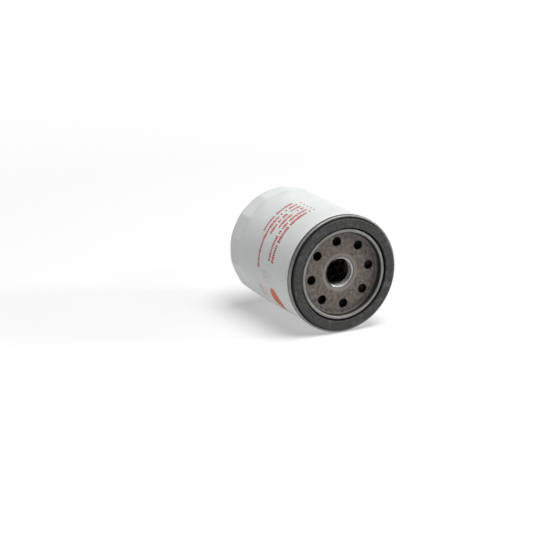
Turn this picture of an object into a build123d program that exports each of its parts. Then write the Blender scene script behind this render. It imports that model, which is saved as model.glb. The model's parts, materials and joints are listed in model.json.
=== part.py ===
from build123d import *
from math import cos, pi, radians, sin, tan
import os

# A spin-on oil filter, lying on its side, in millimetres.
#
# The filter's axis is Y. The origin is on that axis, in the outer face of the tapping plate, where the
# threaded hole opens. -Y points out of the open end, which seals on the engine, and +Y to the domed end.
# Angles about the axis run from +X towards +Z. Radial profiles are drawn in the XY plane, as (radius, y).

os.makedirs("parts", exist_ok=True)

# Can, lid and gasket
CAN_R = 37.0                 # outer radius of the can's wall
SEAM_R = 37.8                # outer radius of the rolled seam
SHEET = 0.4                  # steel sheet of the can and of the lid
GAP = 0.05                   # room left between neighbours that touch
CLEAR = 5.0                  # how far cutting shapes reach past the part
GASKET_Y = -5.5              # sealing face of the gasket
LIP_Y = -4.6                 # crest of the lid's inner lip
SEAM_Y = -3.3                # front of the seam
SEAM_TAIL_Y = -0.45          # where the seam's roll ends against the can
NECK_IN = 0.5                # the can draws in by this behind the seam, as far as NECK_IN_Y[2]
NECK_IN_Y = (-0.2, 0.3, 1.1, 3.4)
DOME_Y = 81.95               # highest ring of the dome
SHOULDER_Y = 75.1            # where the can's straight wall ends
SHOULDER_R = 5.8             # radius of the shoulder between wall and dome
DOME_SLOPE = 4.0             # degrees that the dome falls from its middle to its shoulder
DOME_RECESS_R = 15.9         # flat round recess in the middle of the dome
DOME_RECESS = 0.35           # its depth
DOME_RECESS_EDGE = 0.5       # width of its sloping edge

# Wrench flutes
FLUTES = 14
FLUTE_DEPTH = CAN_R * (1 - cos(pi / FLUTES))      # neighbouring flats meet in an edge
FLUTE_Y = 66.5               # where the full-depth flats start
FLUTE_RUN_OUT_Y = 61.0       # where the flats leave the wall

# Tapping plate: 3/4-16 thread, eight inlet holes
PLATE = 3.0
PLATE_R = 35.5
NECK_R = 12.2
NECK_Y = 11.0
NECK_CHAMFER = 0.9
PLATE_ROUND = 0.8            # rounding of the plate's rim
NECK_ROUND = (1.5, 0.6)      # rounding at the neck's root and at its end
THREAD_MINOR_R = 8.9         # crests, near the wide end of class 2B
THREAD_MAJOR_R = 9.56
THREAD_PITCH = 25.4 / 16
GROOVE_HALF = (0.52, 0.05)   # half the groove's width at GROOVE_START_R and at its root
GROOVE_START_R = THREAD_MINOR_R - 0.15            # the cut starts in the open hole
THREAD_Y = 1.0               # the threaded wall starts behind the mouth
MOUTH_R = 12.6               # where the mouth's shallow dish meets the plate's face
LEAD_IN_R = 10.1             # where the dish turns into the lead-in cone, at LEAD_IN_Y
LEAD_IN_Y = 0.35
INLETS = 8
INLET_R = 3.0
INLET_CIRCLE_R = 20.5
INLET_START = 6.25           # angle of the first inlet hole, in degrees

# Filter element
ELEMENT_Y = 10.5             # front of its open end cap
CAP_SHEET = 0.45
CAP_R = 33.0
CAP_RIM = 3.1
CAP_BEND_R = 0.6
POTTING = 1.5
POTTING_R = (14.3, 32.3)
MEDIA_Y = ELEMENT_Y + CAP_SHEET + POTTING + 2 * GAP
MEDIA_END_Y = 62.4
CLOSED_CAP_Y = MEDIA_END_Y + POTTING + 2 * GAP
PLEATS = 48
PAPER = 0.5
FOLD_R = (15.9, 31.3)        # middle of the paper at the inner and the outer folds
FOLD_WIDTH = (0.72, 0.92)    # distance between the two legs of a fold there
TUBE_R = 15.0
TUBE_SHEET = 0.5
TUBE_ROWS = 8
TUBE_COLUMNS = 14
TUBE_HOLE_R = 2.5
TUBE_PITCH = 5.8

# Bypass valve, in the closed end of the element
CAGE_R = 11.45
CAGE_Y = 48.6
CAGE_HOLE_R = 3.2
CAGE_BENDS = [1.2, 0.4]
WINDOW = 8.0                 # side of the four square windows in its wall
WINDOW_CORNER = 1.5
WINDOW_Y = CAGE_Y + 7
BYPASS_FLANGE_R = 14.0
SEAT_R = 7.0
SEAT = 0.5
SEAT_Y = CLOSED_CAP_Y - GAP - SEAT
SEAT_BEAD = 0.4
SEAL_GAP = 0.1
VALVE_R = 9.6
SPRING_R = 6.0
SPRING_WIRE_R = 0.45
SPRING_TURNS = 5.5

FRONT = Plane.XZ             # drawn as seen from the open end, its normal pointing out of that end


def place(y, angle=0.0):
    """A location at y on the axis, turned by angle degrees from +X towards +Z."""
    return Location((0, y, 0), (0, -angle, 0))


def slab(front, back, mode=Mode.ADD):
    """Extrude the pending sketch, drawn on FRONT.offset(-front), back to y = back."""
    return extrude(amount=-(back - front), mode=mode)


def inside_of_can(inset):
    """The space within the can's outer surface moved inwards by inset, wrench flutes included."""
    slope = radians(DOME_SLOPE)
    wall_r = CAN_R - inset
    bend_r = SHOULDER_R - inset
    bend_x = CAN_R - SHOULDER_R
    bend_end = (bend_x + bend_r * sin(slope), SHOULDER_Y + bend_r * cos(slope))
    recess_r = DOME_RECESS_R + inset / 2
    crown_r = recess_r + DOME_RECESS_EDGE
    crown_y = bend_end[1] + (bend_end[0] - crown_r) * tan(slope)
    with BuildPart() as space:
        with BuildSketch(Plane.XY):
            with BuildLine():
                neck_r = wall_r - NECK_IN
                Polyline((0, SEAM_Y), (wall_r, SEAM_Y), (wall_r, NECK_IN_Y[0]), (neck_r, NECK_IN_Y[1]),
                         (neck_r, NECK_IN_Y[2]), (wall_r, NECK_IN_Y[3]), (wall_r, SHOULDER_Y))
                TangentArc((wall_r, SHOULDER_Y), bend_end, tangent=(0, 1))
                Polyline(bend_end, (crown_r, crown_y), (recess_r, crown_y - DOME_RECESS),
                         (0, crown_y - DOME_RECESS), (0, SEAM_Y))
            make_face()
        revolve(axis=Axis.Y)
        with BuildPart(mode=Mode.PRIVATE) as flute:
            with BuildSketch(Plane.XY):
                flat_r = wall_r - FLUTE_DEPTH
                Polygon((wall_r, FLUTE_RUN_OUT_Y), (flat_r, FLUTE_Y), (flat_r, DOME_Y + CLEAR),
                        (CAN_R + CLEAR, DOME_Y + CLEAR), (CAN_R + CLEAR, FLUTE_RUN_OUT_Y), align=None)
            extrude(amount=CAN_R / 2, both=True)
        with Locations(*[place(0, 360 / FLUTES * k) for k in range(FLUTES)]):
            add(flute.part, mode=Mode.SUBTRACT)
    return space.part


# Can: one deep-drawn cup. Its rim stands in the seam and is folded outwards there into a hook.
can_outside = inside_of_can(0)
can_inside = inside_of_can(SHEET)
RIM_Y = SEAM_Y + 1.0
HOOK_R = SEAM_R - SHEET - GAP
HOOK_Y = RIM_Y + 1.4
with BuildPart() as can:
    add(can_outside)
    add(can_inside, mode=Mode.SUBTRACT)
    with BuildSketch(Plane.XY):
        Polygon((0, SEAM_Y - CLEAR), (CAN_R + CLEAR, SEAM_Y - CLEAR), (CAN_R + CLEAR, RIM_Y), (0, RIM_Y),
                align=None)
    revolve(axis=Axis.Y, mode=Mode.SUBTRACT)
    with BuildSketch(Plane.XY):
        Polygon((CAN_R - SHEET, RIM_Y), (HOOK_R, RIM_Y), (HOOK_R, HOOK_Y), (CAN_R - SHEET, HOOK_Y),
                align=None)
    revolve(axis=Axis.Y)
can.part.label = "can"
export_step(can.part, "parts/can.step")

# Seaming lid: one pressed ring. From its inner edge it runs along the tapping plate, over the folded lip,
# along the floor of the gasket's channel, up the channel's outer wall, over the seam and in behind it.
# Small nubs pressed out of the lip keep the gasket in its channel.
LID_FLOOR_Y = -SHEET / 2 - 0.02                   # just clear of the tapping plate
LID_INNER_R = 24.4
LIP_R = (26.9, 29.2)
CHANNEL_R = CAN_R - SHEET - GAP - SHEET / 2
OUTER_R = SEAM_R - SHEET / 2
LID_BENDS = [1.7, 1.1, 1.1, 0.6, 0.6, 0.6, 0.6, 0.3]
NUBS = 4
NUB_START = 82.0
NUB_R = 0.65
NUB_DEPTH = 1.9              # behind the lip's crest
with BuildPart() as seaming_lid:
    with BuildSketch(Plane.XY):
        with BuildLine():
            FilletPolyline(
                (LID_INNER_R, LID_FLOOR_Y),
                (LIP_R[0], LID_FLOOR_Y),
                (LIP_R[0], LIP_Y + SHEET / 2),
                (LIP_R[1], LIP_Y + SHEET / 2),
                (LIP_R[1], LID_FLOOR_Y),
                (CHANNEL_R, LID_FLOOR_Y),
                (CHANNEL_R, SEAM_Y + SHEET / 2),
                (OUTER_R, SEAM_Y + SHEET / 2),
                (OUTER_R, SEAM_TAIL_Y),
                (CAN_R + SHEET / 2 + GAP, SEAM_TAIL_Y),
                radius=LID_BENDS,
            )
            offset(amount=SHEET / 2, side=Side.BOTH)
        make_face()
    revolve(axis=Axis.Y)
    with Locations(*[place(LIP_Y + NUB_DEPTH, NUB_START + 360 / NUBS * k) for k in range(NUBS)]):
        with Locations((LIP_R[1], 0, 0)):
            Sphere(NUB_R)
seaming_lid.part.label = "seaming_lid"
export_step(seaming_lid.part, "parts/seaming_lid.step")

# Seam sealant: a bead of compound between the can's rim and the inside of the seam
BEAD_R = 0.2
with BuildPart() as seam_sealant:
    with BuildSketch(Plane.XY):
        with Locations(((CHANNEL_R + OUTER_R) / 2, RIM_Y - BEAD_R - GAP)):
            Circle(BEAD_R)
    revolve(axis=Axis.Y)
seam_sealant.part.label = "seam_sealant"
export_step(seam_sealant.part, "parts/seam_sealant.step")

# Gasket: a square-cut rubber ring
GASKET_R = (29.95, 36.0)
GASKET_BACK_Y = LID_FLOOR_Y - SHEET / 2 - GAP
GASKET_RELIEF = 0.5          # chamfer at its outer back edge
GASKET_ROUNDS = [0.45, 0.6, 0.2]
with BuildPart() as gasket:
    with BuildSketch(Plane.XY):
        with BuildLine():
            FilletPolyline(
                (GASKET_R[0], GASKET_BACK_Y),
                (GASKET_R[0], GASKET_Y),
                (GASKET_R[1], GASKET_Y),
                (GASKET_R[1], GASKET_BACK_Y - GASKET_RELIEF),
                (GASKET_R[1] - GASKET_RELIEF, GASKET_BACK_Y),
                radius=GASKET_ROUNDS,
            )
            Line((GASKET_R[1] - GASKET_RELIEF, GASKET_BACK_Y), (GASKET_R[0], GASKET_BACK_Y))
        make_face()
    revolve(axis=Axis.Y)
gasket.part.label = "gasket"
export_step(gasket.part, "parts/gasket.step")

# One turn of the thread's groove, right-handed; the neck is cut turn by turn past both of its ends
with BuildPart() as thread_turn:
    with BuildLine():
        turn = Helix(THREAD_PITCH, THREAD_PITCH, THREAD_MINOR_R, direction=(0, 1, 0))
    outwards = Vector((turn @ 0).X, 0, (turn @ 0).Z).normalized()
    with BuildSketch(Plane(turn @ 0, x_dir=outwards, z_dir=turn % 0)):
        start, root = GROOVE_START_R - THREAD_MINOR_R, THREAD_MAJOR_R - THREAD_MINOR_R
        Polygon((start, -GROOVE_HALF[0]), (root, -GROOVE_HALF[1]),
                (root, GROOVE_HALF[1]), (start, GROOVE_HALF[0]), align=None)
    sweep(is_frenet=True)

# Tapping plate: a thick disc with its neck drawn inwards, eight inlet holes and the thread
with BuildPart() as tapping_plate:
    with BuildSketch(Plane.XY):
        with BuildLine():
            TangentArc((MOUTH_R, 0), (LEAD_IN_R, LEAD_IN_Y), tangent=(-1, 0))
            Line((LEAD_IN_R, LEAD_IN_Y), (THREAD_MINOR_R, THREAD_Y))
            FilletPolyline(
                (MOUTH_R, 0),
                (PLATE_R, 0),
                (PLATE_R, PLATE),
                (NECK_R, PLATE),
                (NECK_R, NECK_Y),
                (THREAD_MINOR_R + NECK_CHAMFER, NECK_Y),
                radius=[PLATE_ROUND, PLATE_ROUND, *NECK_ROUND],
            )
            Polyline((THREAD_MINOR_R + NECK_CHAMFER, NECK_Y), (THREAD_MINOR_R, NECK_Y - NECK_CHAMFER),
                     (THREAD_MINOR_R, THREAD_Y))
        make_face()
    revolve(axis=Axis.Y)
    with BuildSketch(FRONT):
        with PolarLocations(INLET_CIRCLE_R, INLETS, start_angle=INLET_START):
            Circle(INLET_R)
    extrude(amount=2 * PLATE, both=True, mode=Mode.SUBTRACT)
    for k in range(-2, int(NECK_Y / THREAD_PITCH) + 2):
        with Locations((0, k * THREAD_PITCH, 0)):
            add(thread_turn.part, mode=Mode.SUBTRACT)

tapping_plate.part.label = "tapping_plate"
export_step(tapping_plate.part, "parts/tapping_plate.step")

# Anti-drainback valve: a rubber diaphragm on the neck. Its hub is clamped between plate and element, and
# its conical lip covers the inlet holes from behind until the pump's flow lifts it.
HUB_R = 15.0
HUB_Y = (PLATE + 2 * GAP, ELEMENT_Y - 2 * GAP)
HUB_INNER_R = NECK_R + 2 * GAP
HUB_CHAMFER = 1.6            # clears the rounding where the neck leaves the plate
with BuildPart() as drainback_valve_hub:
    with BuildSketch(Plane.XY):
        Polygon((HUB_INNER_R + HUB_CHAMFER, HUB_Y[0]), (HUB_R, HUB_Y[0]), (HUB_R, HUB_Y[1]),
                (HUB_INNER_R, HUB_Y[1]), (HUB_INNER_R, HUB_Y[0] + HUB_CHAMFER), align=None)
    revolve(axis=Axis.Y)
drainback_valve_hub.part.label = "drainback_valve_hub"
export_step(drainback_valve_hub.part, "parts/drainback_valve_hub.step")

FLAP_R = (HUB_R + 0.3, 25.0, 25.6, 25.8, 26.8)    # root, end of the cone, sealing bead, back, tip
FLAP_Y = (PLATE + 0.12, 3.6, 3.9, 4.4, 6.8, 7.9)
with BuildPart() as drainback_valve_lip:
    with BuildSketch(Plane.XY):
        Polygon((FLAP_R[0], FLAP_Y[4]), (FLAP_R[1], FLAP_Y[1]), (FLAP_R[2], FLAP_Y[0]),
                (FLAP_R[4], FLAP_Y[0]), (FLAP_R[4], FLAP_Y[2]), (FLAP_R[3], FLAP_Y[3]),
                (FLAP_R[0], FLAP_Y[5]), align=None)
    revolve(axis=Axis.Y)
drainback_valve_lip.part.label = "drainback_valve_lip"
export_step(drainback_valve_lip.part, "parts/drainback_valve_lip.step")


def end_cap(face_y, hole_r, rim_y):
    """A pressed steel end cap: a disc with a hole, and with its rim bent over the paper as far as rim_y."""
    with BuildPart() as cap:
        with BuildSketch(Plane.XY):
            with BuildLine():
                FilletPolyline((hole_r, face_y), (CAP_R - CAP_SHEET / 2, face_y),
                               (CAP_R - CAP_SHEET / 2, rim_y), radius=CAP_BEND_R)
                offset(amount=CAP_SHEET / 2, side=Side.BOTH)
            make_face()
        revolve(axis=Axis.Y)
    return cap.part


def ring(inner_r, outer_r, front, back):
    """A plain flat ring or tube between two radii, from y = front to y = back."""
    with BuildPart() as band:
        with BuildSketch(FRONT.offset(-front)):
            Circle(outer_r)
            Circle(inner_r, mode=Mode.SUBTRACT)
        slab(front, back)
    return band.part


def fold_outline(shift):
    """Corners of the star that the paper's middle line draws, moved outwards by shift.

    Each pleat is a flat outer fold, a leg, a flat inner fold and the leg back. The legs move sideways by
    shift, so that the sheet keeps its thickness.
    """
    corners = []
    step = 2 * pi / PLEATS
    for k in range(PLEATS):
        for r, half, middle, out in (
            (FOLD_R[1], FOLD_WIDTH[1] / 2, k * step, 1),
            (FOLD_R[0], FOLD_WIDTH[0] / 2, (k + 0.5) * step, -1),
        ):
            for side in (-1, 1):
                along = r + shift
                across = side * (half + out * shift)
                corners.append((along * cos(middle) - across * sin(middle),
                                along * sin(middle) + across * cos(middle)))
    return corners


# Filter element: pleated paper around a perforated tube, potted into a steel cap at each end
CAP_HOLE_R = (12.8, 9.7)     # over the plate's neck and over the bypass valve
open_end_cap = end_cap(ELEMENT_Y + CAP_SHEET / 2, CAP_HOLE_R[0], ELEMENT_Y + CAP_RIM)
open_end_cap.label = "open_end_cap"
export_step(open_end_cap, "parts/open_end_cap.step")

closed_end_cap = end_cap(CLOSED_CAP_Y + CAP_SHEET / 2, CAP_HOLE_R[1], CLOSED_CAP_Y + CAP_SHEET - CAP_RIM)
closed_end_cap.label = "closed_end_cap"
export_step(closed_end_cap, "parts/closed_end_cap.step")

open_end_potting = ring(*POTTING_R, ELEMENT_Y + CAP_SHEET + GAP, MEDIA_Y - GAP)
open_end_potting.label = "open_end_potting"
export_step(open_end_potting, "parts/open_end_potting.step")

closed_end_potting = ring(*POTTING_R, MEDIA_END_Y + GAP, CLOSED_CAP_Y - GAP)
closed_end_potting.label = "closed_end_potting"
export_step(closed_end_potting, "parts/closed_end_potting.step")

with BuildPart() as pleated_media:
    with BuildSketch(FRONT.offset(-MEDIA_Y)):
        Polygon(*fold_outline(PAPER / 2), align=None)
        Polygon(*fold_outline(-PAPER / 2), align=None, mode=Mode.SUBTRACT)
    slab(MEDIA_Y, MEDIA_END_Y)
pleated_media.part.label = "pleated_media"
export_step(pleated_media.part, "parts/pleated_media.step")

# Clip that crimps the two ends of the paper together, over the first pleat's outer fold
CLIP_SHEET = 0.3
CLIP_LEG = 1.2
CLIP_HALF = FOLD_WIDTH[1] / 2 + PAPER / 2 + GAP
CLIP_R = FOLD_R[1] + PAPER / 2 + GAP
with BuildPart() as media_seam_clip:
    with BuildSketch(FRONT.offset(-MEDIA_Y - CLIP_SHEET)):
        foot, edge = CLIP_R - CLIP_LEG, CLIP_HALF + CLIP_SHEET
        back = CLIP_R + CLIP_SHEET
        Polygon((foot, CLIP_HALF), (CLIP_R, CLIP_HALF), (CLIP_R, -CLIP_HALF), (foot, -CLIP_HALF),
                (foot, -edge), (back, -edge), (back, edge), (foot, edge), align=None)
    slab(MEDIA_Y + CLIP_SHEET, MEDIA_END_Y - CLIP_SHEET)
media_seam_clip.part.label = "media_seam_clip"
export_step(media_seam_clip.part, "parts/media_seam_clip.step")

# Centre tube: staggered rows of holes, each drill passing through both walls
with BuildPart() as centre_tube:
    with BuildSketch(FRONT.offset(-MEDIA_Y)):
        Circle(TUBE_R)
        Circle(TUBE_R - TUBE_SHEET, mode=Mode.SUBTRACT)
    slab(MEDIA_Y, MEDIA_END_Y)
    tube_middle = (MEDIA_Y + MEDIA_END_Y) / 2
    column = 360 / TUBE_COLUMNS
    drills = []
    for row in range(TUBE_ROWS):
        y = tube_middle + (row - (TUBE_ROWS - 1) / 2) * TUBE_PITCH
        drills += [place(y, column * (k + row % 2 / 2)) for k in range(TUBE_COLUMNS // 2)]
    with Locations(*drills):
        Cylinder(TUBE_HOLE_R, 2 * (TUBE_R + CLEAR), mode=Mode.SUBTRACT)
centre_tube.part.label = "centre_tube"
export_step(centre_tube.part, "parts/centre_tube.step")

# Bypass valve: a sprung disc with a rubber seal, held on its seat by a coil spring in a windowed cage
CAGE_FLANGE_Y = SEAT_Y - GAP
with BuildPart() as bypass_cage:
    with BuildSketch(Plane.XY):
        with BuildLine():
            FilletPolyline(
                (CAGE_HOLE_R, CAGE_Y + CAP_SHEET / 2),
                (CAGE_R - CAP_SHEET / 2, CAGE_Y + CAP_SHEET / 2),
                (CAGE_R - CAP_SHEET / 2, CAGE_FLANGE_Y - CAP_SHEET / 2),
                (BYPASS_FLANGE_R, CAGE_FLANGE_Y - CAP_SHEET / 2),
                radius=CAGE_BENDS,
            )
            offset(amount=CAP_SHEET / 2, side=Side.BOTH)
        make_face()
    revolve(axis=Axis.Y)
    for wall in (Plane.XY, Plane.YZ):
        with BuildSketch(wall):
            with Locations((0, WINDOW_Y) if wall == Plane.XY else (WINDOW_Y, 0)):
                RectangleRounded(WINDOW, WINDOW, WINDOW_CORNER)
        extrude(amount=CAGE_R + CLEAR, both=True, mode=Mode.SUBTRACT)
bypass_cage.part.label = "bypass_cage"
export_step(bypass_cage.part, "parts/bypass_cage.step")

with BuildPart() as bypass_seat:
    with BuildSketch(Plane.XY):
        bead_r = SEAT_R + SEAT_BEAD
        Polygon((SEAT_R, SEAT_Y - SEAT_BEAD), (bead_r, SEAT_Y - SEAT_BEAD), (bead_r + SEAT_BEAD, SEAT_Y),
                (BYPASS_FLANGE_R, SEAT_Y), (BYPASS_FLANGE_R, SEAT_Y + SEAT), (SEAT_R, SEAT_Y + SEAT),
                align=None)
    revolve(axis=Axis.Y)
bypass_seat.part.label = "bypass_seat"
export_step(bypass_seat.part, "parts/bypass_seat.step")

SEAL_Y = SEAT_Y - SEAT_BEAD - SEAL_GAP
SEAL = 1.1
SEAL_R = (4.5, 9.4)
bypass_seal = ring(*SEAL_R, SEAL_Y - SEAL, SEAL_Y)
bypass_seal.label = "bypass_seal"
export_step(bypass_seal, "parts/bypass_seal.step")

DISC_Y = SEAL_Y - SEAL - GAP
DISC = 0.65
DISC_ROUND = 0.2
DIMPLE = 0.9                 # depth of the boss that centres the spring
DIMPLE_R = (4.3, 4.9)
with BuildPart() as bypass_disc:
    with BuildSketch(Plane.XY):
        front, dimple_y = DISC_Y - DISC, DISC_Y - DISC - DIMPLE
        with BuildLine():
            FilletPolyline((0, dimple_y), (DIMPLE_R[1], dimple_y), (DIMPLE_R[1], front), (VALVE_R, front),
                           (VALVE_R, DISC_Y), (DIMPLE_R[0], DISC_Y), (DIMPLE_R[0], front), (0, front),
                           radius=[2 * DISC_ROUND] + 5 * [DISC_ROUND])
            Line((0, front), (0, dimple_y))
        make_face()
    revolve(axis=Axis.Y)
bypass_disc.part.label = "bypass_disc"
export_step(bypass_disc.part, "parts/bypass_disc.step")

SPRING_START_Y = CAGE_Y + CAP_SHEET + SPRING_WIRE_R + GAP
SPRING_END_Y = DISC_Y - DISC - SPRING_WIRE_R - GAP
with BuildPart() as bypass_spring:
    with BuildLine():
        spring_height = SPRING_END_Y - SPRING_START_Y
        coil = Helix(spring_height / SPRING_TURNS, spring_height, SPRING_R,
                     center=(0, SPRING_START_Y, 0), direction=(0, 1, 0))
    with BuildSketch(Plane(coil @ 0, z_dir=coil % 0)):
        Circle(SPRING_WIRE_R)
    sweep(is_frenet=True)
bypass_spring.part.label = "bypass_spring"
export_step(bypass_spring.part, "parts/bypass_spring.step")

# Retaining spring: a four-armed leaf spring that presses the element against the tapping plate
ARMS = 4
ARM_WIDTH = 9.0
SPRING_LEAF = 0.5
HUB_HOLE_R = 10.5
ARM_START_R = 17.0
LEAF_Y = CLOSED_CAP_Y + CAP_SHEET + GAP + SPRING_LEAF / 2
ARM_FOOT = ((25.5, 80.5), (28.5, 80.3))           # where the arms touch the dome from inside
ARM_BEND_R = 3.0
with BuildPart() as retaining_spring:
    with BuildSketch(Plane.XY):
        with BuildLine():
            FilletPolyline((HUB_HOLE_R, LEAF_Y), (ARM_START_R + SPRING_LEAF, LEAF_Y), *ARM_FOOT,
                           radius=ARM_BEND_R)
            offset(amount=SPRING_LEAF / 2, side=Side.BOTH)
        make_face()
    revolve(axis=Axis.Y)
    with BuildSketch(FRONT.offset(-LEAF_Y + SPRING_LEAF)):
        Circle(CAN_R)
        Circle(ARM_START_R, mode=Mode.SUBTRACT)
        with PolarLocations(0, ARMS, start_angle=45):
            Rectangle(CAN_R, ARM_WIDTH, align=(Align.MIN, Align.CENTER), mode=Mode.SUBTRACT)
    slab(LEAF_Y - SPRING_LEAF, DOME_Y, mode=Mode.SUBTRACT)
retaining_spring.part.label = "retaining_spring"
export_step(retaining_spring.part, "parts/retaining_spring.step")
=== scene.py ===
import json
import math

import bmesh
import bpy
import numpy as np
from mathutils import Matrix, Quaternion, Vector


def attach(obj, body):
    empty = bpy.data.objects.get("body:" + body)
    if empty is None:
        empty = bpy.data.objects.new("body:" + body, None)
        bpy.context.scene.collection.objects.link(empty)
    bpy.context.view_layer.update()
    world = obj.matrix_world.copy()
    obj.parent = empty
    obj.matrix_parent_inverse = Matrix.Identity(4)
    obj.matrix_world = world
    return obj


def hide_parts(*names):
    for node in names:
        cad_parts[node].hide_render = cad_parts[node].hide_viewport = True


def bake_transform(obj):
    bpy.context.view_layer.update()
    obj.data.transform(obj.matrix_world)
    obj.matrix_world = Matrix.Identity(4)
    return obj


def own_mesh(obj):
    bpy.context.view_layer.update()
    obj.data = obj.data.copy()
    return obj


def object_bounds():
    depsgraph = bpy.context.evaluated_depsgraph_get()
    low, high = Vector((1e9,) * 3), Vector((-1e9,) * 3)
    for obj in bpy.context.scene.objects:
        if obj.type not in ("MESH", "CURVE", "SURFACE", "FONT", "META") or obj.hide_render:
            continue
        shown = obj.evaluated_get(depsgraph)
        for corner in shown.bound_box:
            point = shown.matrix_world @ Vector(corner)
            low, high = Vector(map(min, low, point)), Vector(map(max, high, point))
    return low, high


# Looks of a spin-on oil filter lying on its side. Y is its axis, with the open end at -Y, and Z is up.
# Shapes are drawn in millimetres as (radius, y) and scaled to metres when a mesh is made. Angles about the
# axis run from +X towards +Z.

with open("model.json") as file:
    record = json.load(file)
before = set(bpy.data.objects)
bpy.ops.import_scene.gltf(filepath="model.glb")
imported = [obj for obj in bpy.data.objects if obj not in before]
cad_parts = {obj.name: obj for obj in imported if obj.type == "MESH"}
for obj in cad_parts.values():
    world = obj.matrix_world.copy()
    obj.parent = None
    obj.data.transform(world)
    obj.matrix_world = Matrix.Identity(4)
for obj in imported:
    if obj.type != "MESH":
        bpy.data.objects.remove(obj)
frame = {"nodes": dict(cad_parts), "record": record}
cad_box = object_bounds()
MM = 0.001

# Can
CAN_R = 37.0
SHEET = 0.4
HOOK_R = 37.35
RIM_Y = -2.3
HOOK_Y = -0.9
NECK_DIP = [(-0.9, 0), (-0.2, 0), (0.0, 0.2), (0.3, 0.5), (0.7, 0.52), (1.1, 0.5), (1.6, 0.38), (2.2, 0.2),
            (2.8, 0.06), (3.4, 0)]                # how far the wall draws in behind the seam, as (y, depth)
SHOULDER_Y = 75.1
SHOULDER_R = 5.8
DOME_SLOPE = math.radians(4.0)
RECESS_R = 15.9
RECESS = 0.35
RECESS_EDGE = 0.9
FLUTES = 14
FLUTE_DEPTH = CAN_R * (1 - math.cos(math.pi / FLUTES))
FLUTE_Y = (61.0, 66.5)
FLUTE_SOFTNESS = 0.9

# Seaming lid
LID_FLOOR_Y = -0.22
LIP_R = (26.9, 29.2)
LIP_Y = -4.6
SEAM_Y = -3.3
LID_PATH = [
    (24.4, LID_FLOOR_Y, 0.0),
    (LIP_R[0], LID_FLOOR_Y, 1.7),
    (LIP_R[0], LIP_Y + SHEET / 2, 1.1),
    (LIP_R[1], LIP_Y + SHEET / 2, 1.1),
    (LIP_R[1], LID_FLOOR_Y, 0.6),
    (36.35, LID_FLOOR_Y, 0.6),
    (36.35, SEAM_Y + SHEET / 2, 0.6),
    (37.6, SEAM_Y + SHEET / 2, 0.6),
    (37.6, -0.45, 0.3),
    (37.25, -0.45, 0.0),
]
NUBS = 4
NUB_START = math.radians(82.0)
NUB_Y = LIP_Y + 1.9
NUB_HEIGHT = 0.45
NUB_WIDTH = 0.42

# Gasket
GASKET_R = (29.95, 36.0)
GASKET_Y = (-5.5, -0.47)

# Tapping plate
PLATE = 3.0
PLATE_R = 35.5
NECK_R = 12.2
NECK_Y = 11.0
MOUTH_R = 12.6
LEAD_IN = (10.1, 0.35)       # where the mouth's dish turns into its cone
INLETS = 8
INLET_R = 3.0
INLET_CIRCLE_R = 20.5
INLET_START = math.radians(6.25)
INLET_EDGE = 0.2             # rounding of the inlet holes' edges
THREAD_R = (8.9, 9.56)
THREAD_PITCH = 25.4 / 16
THREAD_Y = (1.0, 10.1)
PATCH_R = (13.2, 28.0)       # the ring of the plate's face that holds the inlet holes

# Valves and element
HUB = [(13.9, 3.1), (15.0, 3.1), (15.0, 10.4), (12.3, 10.4), (12.3, 4.7)]
SKIRT = [(14.7, 6.95), (25.0, 3.6), (25.6, 3.12), (26.8, 3.12), (26.8, 3.9), (25.8, 4.4), (14.7, 8.0)]
POTTING_R = (14.3, 32.3)
OPEN_POTTING_Y = (11.0, 12.5)
CLOSED_POTTING_Y = (62.45, 63.95)
PLEATS = 48
PAPER = 0.5
FOLD_R = (15.9, 31.3)
FOLD_HALF = (0.36, 0.46)
FOLD_ROUND = 0.33
MEDIA_Y = (12.55, 62.4)
COIL_R = 6.0
COIL_WIRE_R = 0.45
COIL_Y = (49.55, 60.65)
COIL_TURNS = 5.5
COIL_STEPS = 220
SEAL_R = (4.5, 9.4)
SEAL_Y = (61.85, 62.95)

# Print on the can: rows of plain strokes. Angles in degrees from the top, towards -X; places along Y.
ROW_PITCH = 4.26
FIRST_ROW_Y = 21.5
ROW_START = 14.5
ROW_ENDS = [83.0, 80.7, 47.0, 55.5, 92.0, 59.0]
DOT_ANGLE = 10.0
PANEL_PLACE = (123.0, 24.7)  # angle and y of the middle of the oval panel
PANEL_HALF = (9.7, 5.5)      # half its size around the can and along it
FAINT_ROWS = [               # small worn strokes, as (angles, y, how strong)
    ((92.0, 104.0), (25.0, 33.0), 0.3),
    ((110.0, 126.0), (33.0, 44.0), 0.45),
]
EMBLEM_ANGLE = -42.0
EMBLEM_Y = 28.5

# How many steps each turned piece has around the axis
CAN_SEGMENTS = FLUTES * 32
LID_SEGMENTS = 720
GASKET_SEGMENTS = 540
INNER_SEGMENTS = 160
SEAL_SEGMENTS = 120


# ---------------------------------------------------------------- meshes

def round_corners(points, steps=7):
    """A path of (radius, y, corner radius) with its corners turned into arcs."""
    corners = [np.array(p[:2], float) for p in points]
    path = []
    for i, corner in enumerate(corners):
        size = points[i][2]
        if size == 0:
            path.append(corner)
            continue
        before = corners[i - 1] - corner
        after = corners[(i + 1) % len(corners)] - corner
        before, after = before / np.linalg.norm(before), after / np.linalg.norm(after)
        half = math.acos(float(np.clip(before @ after, -1, 1))) / 2
        middle = (before + after) / np.linalg.norm(before + after)
        centre = corner + middle * size / math.sin(half)
        start = corner + before * size / math.tan(half) - centre
        end = corner + after * size / math.tan(half) - centre
        sweep = math.pi - 2 * half
        for k in range(steps + 1):
            a = sweep * k / steps
            path.append(centre + (start * math.sin(sweep - a) + end * math.sin(a)) / math.sin(sweep))
    return np.array(path)


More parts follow.
